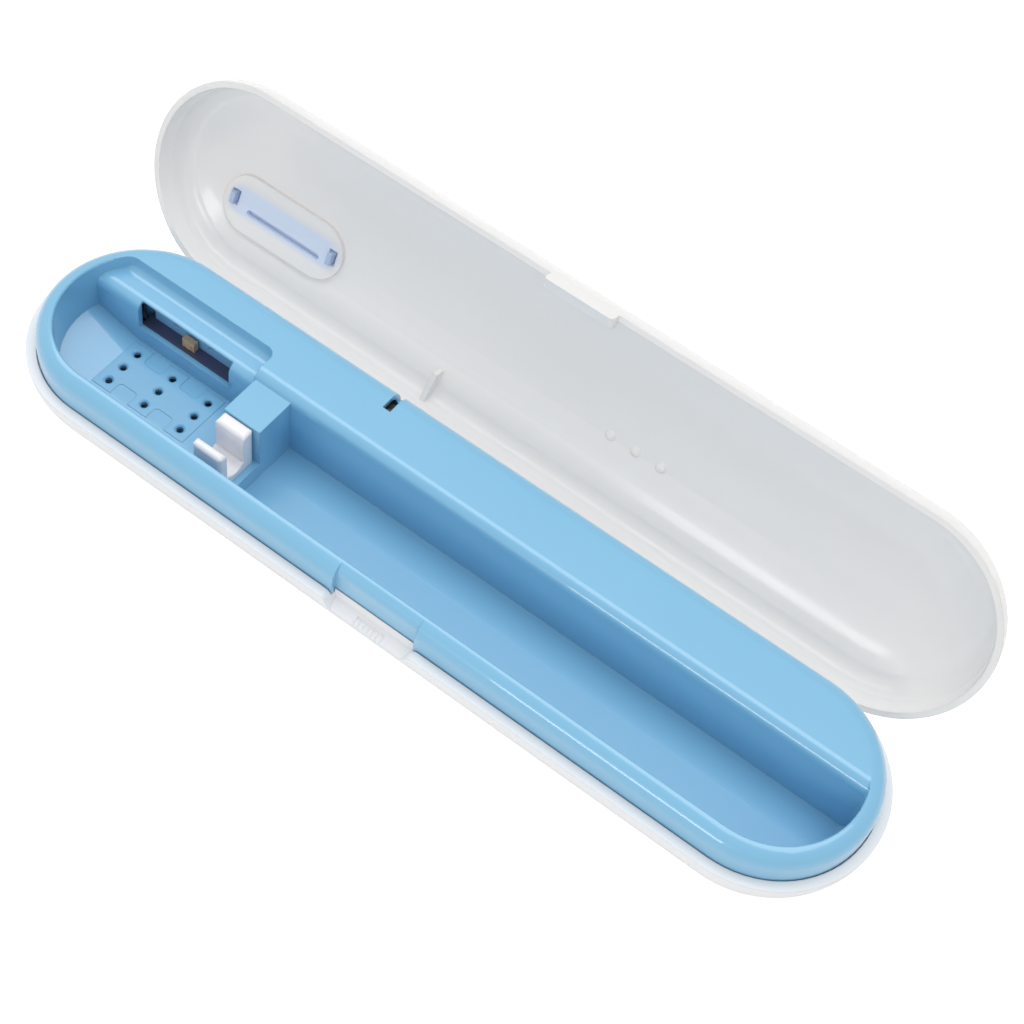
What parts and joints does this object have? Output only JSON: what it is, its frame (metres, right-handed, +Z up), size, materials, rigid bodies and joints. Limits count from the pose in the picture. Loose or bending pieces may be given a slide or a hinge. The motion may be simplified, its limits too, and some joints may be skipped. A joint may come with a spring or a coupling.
{
  "type": "toothbrush travel case",
  "caption": "Long round-ended travel case for a toothbrush: white shell, blue tray with trough, drain floor, neck clip and germ lamp bay, and a hinged clear lid with a window.",
  "frame": {"origin": "middle of the flat underside, on the resting plane", "axes": "+X along the case towards the plain end of the trough, -Y the front with the snap, +Y the hinge side, +Z up"},
  "size_m": [0.225, 0.0786, 0.0632],
  "materials": {
    "white_shell": "satin white shell",
    "blue_tray": "glossy light blue",
    "white_clip": "glossy white",
    "cell": "metal can with a plain green sleeve",
    "contact": "nickel-plated spring steel",
    "board": "green circuit board",
    "chip": "black moulding",
    "can": "sleeved can",
    "screw": "zinc-plated steel",
    "lamp_board": "dark violet-grey board",
    "lamp_chip": "bronze-coloured package",
    "reflector": "pale blue plate",
    "clear_lid": "cloudy clear white",
    "window": "cloudy pale blue"
  },
  "bodies": {
    "base": {"base_shell": "white_shell", "tray": "blue_tray", "brush_clip": "white_clip", "battery_cell_1": "cell", "battery_cell_2": "cell", "spring_contact": "contact", "plate_contact": "contact", "main_board": "board", "timer_chip": "chip", "capacitor": "can", "board_screws": "screw", "switch_body": "chip", "switch_dome": "contact", "case_screws": "screw", "hinge_pins": "screw", "lamp_board": "lamp_board", "lamp_chip": "lamp_chip", "lamp_reflector": "reflector"},
    "lid": {"lid_shell": "clear_lid", "lid_window": "window"},
    "door": {"battery_door": "white_shell"},
    "plunger": {"switch_plunger": "white_clip"}
  },
  "joints": [
    {"name": "lid_hinge", "type": "hinge", "parent": "base", "child": "lid", "pos_m": [0, 0.02495, 0.01475], "axis": [1, 0, 0], "range_deg": [0, 111]},
    {"name": "battery_door_hinge", "type": "hinge", "parent": "base", "child": "door", "pos_m": [-0.0057, 0.013, 0], "axis": [0, 1, 0], "range_deg": [0, 30]},
    {"name": "switch_press", "type": "slide", "parent": "base", "child": "plunger", "axis": [0, 0, -1], "range_m": [0, 0.0005], "stiffness_N_per_m": 1500, "springref_m": -0.0003}
  ]
}
